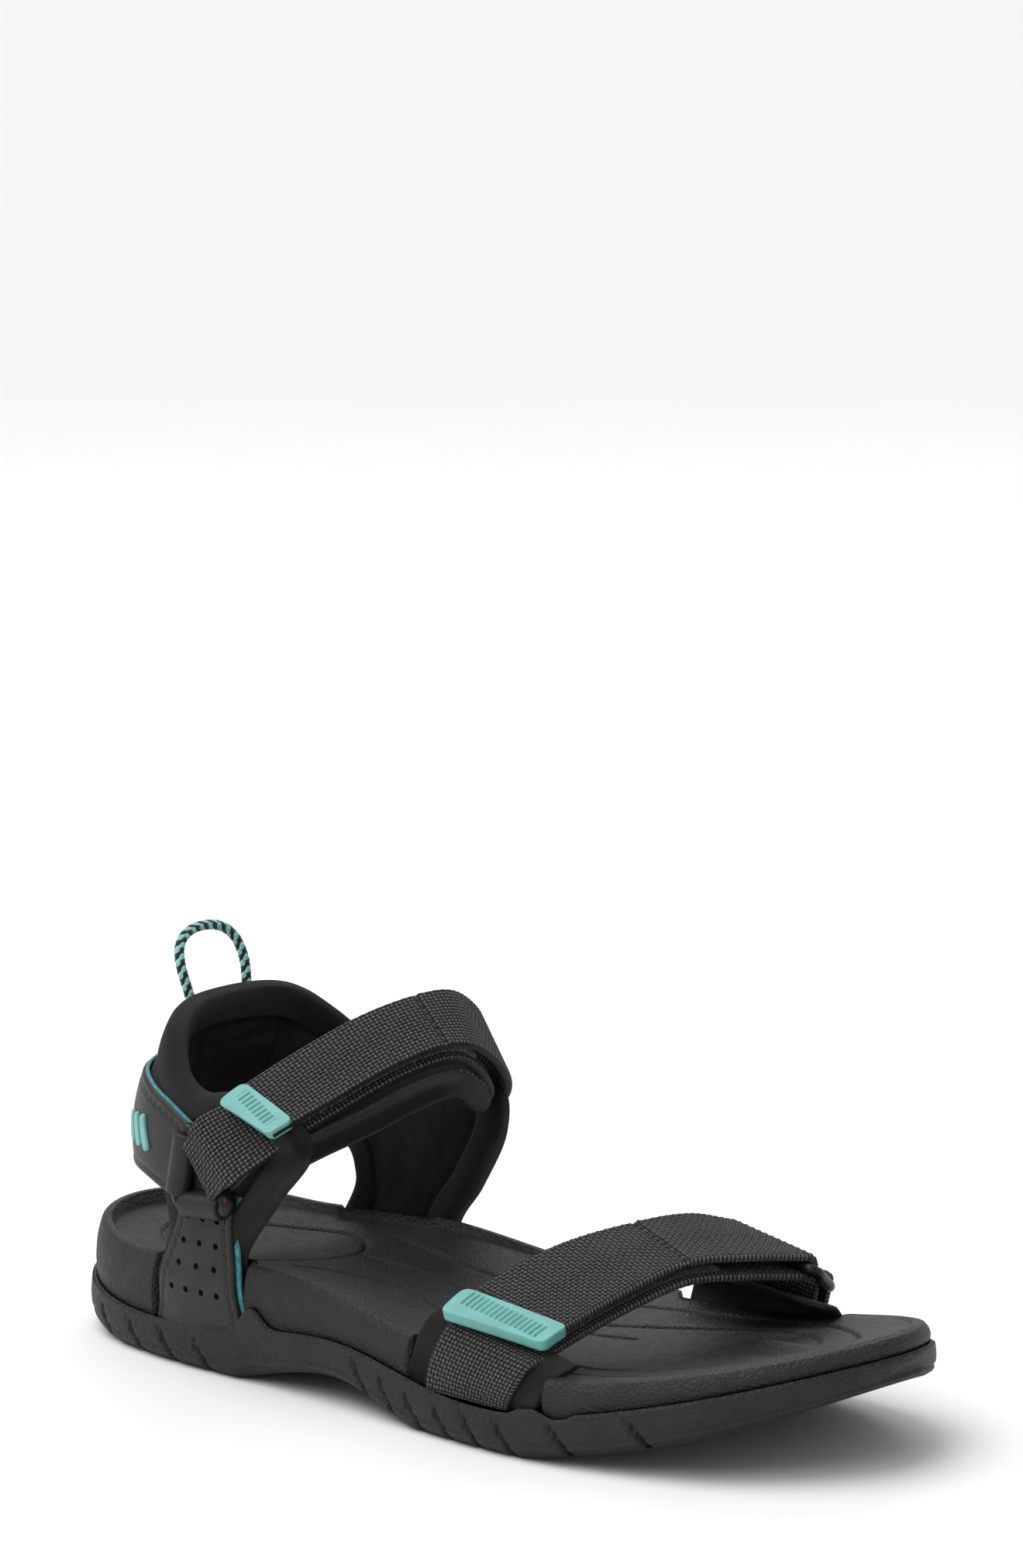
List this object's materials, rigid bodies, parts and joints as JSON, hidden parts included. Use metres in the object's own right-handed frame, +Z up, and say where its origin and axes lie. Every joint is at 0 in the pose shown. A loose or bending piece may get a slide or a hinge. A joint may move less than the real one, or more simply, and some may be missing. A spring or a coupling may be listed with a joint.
{
  "type": "sport sandal",
  "caption": "Open strappy sport sandal for a right foot: moulded cushioned sole, padded heel collar, and ankle and forefoot webbing straps with hook-and-loop flaps.",
  "frame": {"origin": "on the ground under the middle of the sole: bottom centre of the box of the sandal without its pull loop", "axes": "+X to the toe, +Y to the inner (medial) side of the foot, +Z up"},
  "size_m": [0.26, 0.0975, 0.1039],
  "materials": {
    "outsole_rubber": "matt grained rubber",
    "midsole_foam": "matt moulded foam",
    "footbed_foam": "matt moulded foam with fine grain",
    "shank_plastic": "moulded nylon",
    "shock_pad_foam": "soft foam",
    "stretch_fabric": "ribbed stretch knit over foam",
    "lining_fabric": "soft lining over foam",
    "braided_cord": "teal and black braid",
    "smooth_leather": "smooth synthetic leather",
    "teal_plastic": "soft moulded plastic",
    "ring_plastic": "satin moulded plastic",
    "teal_backing": "coloured backing",
    "webbing": "coarse woven webbing",
    "fastener_tape": "hook and loop tape"
  },
  "bodies": {
    "root": {"outsole": "outsole_rubber", "midsole": "midsole_foam", "footbed": "footbed_foam", "shank": "shank_plastic", "heel_shock_pad": "shock_pad_foam", "heel_collar_outer": "stretch_fabric", "heel_collar_lining": "lining_fabric", "instep_pad": "stretch_fabric", "pull_loop_seat": "stretch_fabric", "heel_strap": "smooth_leather", "heel_emblem": "teal_plastic", "lateral_ring": "ring_plastic", "medial_ring": "ring_plastic", "forefoot_ring": "ring_plastic", "lateral_side_tab": "smooth_leather", "medial_side_tab": "smooth_leather", "lateral_tab_backing": "teal_backing", "medial_tab_backing": "teal_backing", "ankle_strap_lower": "webbing", "ankle_loop_tape": "fastener_tape", "forefoot_strap_lower": "webbing", "forefoot_loop_tape": "fastener_tape", "forefoot_medial_anchor": "webbing", "forefoot_medial_lining": "lining_fabric", "forefoot_lateral_lining": "lining_fabric"},
    "ankle_flap": {"ankle_strap_flap": "webbing", "ankle_hook_tape": "fastener_tape", "ankle_pull_tab": "teal_plastic"},
    "forefoot_flap": {"forefoot_strap_flap": "webbing", "forefoot_hook_tape": "fastener_tape", "forefoot_pull_tab": "teal_plastic"},
    "loop": {"pull_loop": "braided_cord"}
  },
  "joints": [
    {"name": "ankle_strap_open", "type": "hinge", "parent": "root", "child": "ankle_flap", "pos_m": [-0.054, 0.0452, 0.056], "axis": [-0.5884, -0.0051, 0.8085], "range_deg": [0, 120]},
    {"name": "forefoot_strap_open", "type": "hinge", "parent": "root", "child": "forefoot_flap", "pos_m": [0.0606, 0.0346, 0.041], "axis": [-0.9668, 0.2209, 0.1283], "range_deg": [0, 125]},
    {"name": "pull_loop_tilt", "type": "hinge", "parent": "root", "child": "loop", "pos_m": [-0.0936, 0, 0.0854], "axis": [0, 1, 0], "range_deg": [-35, 50], "stiffness_Nm_per_rad": 0.02}
  ]
}
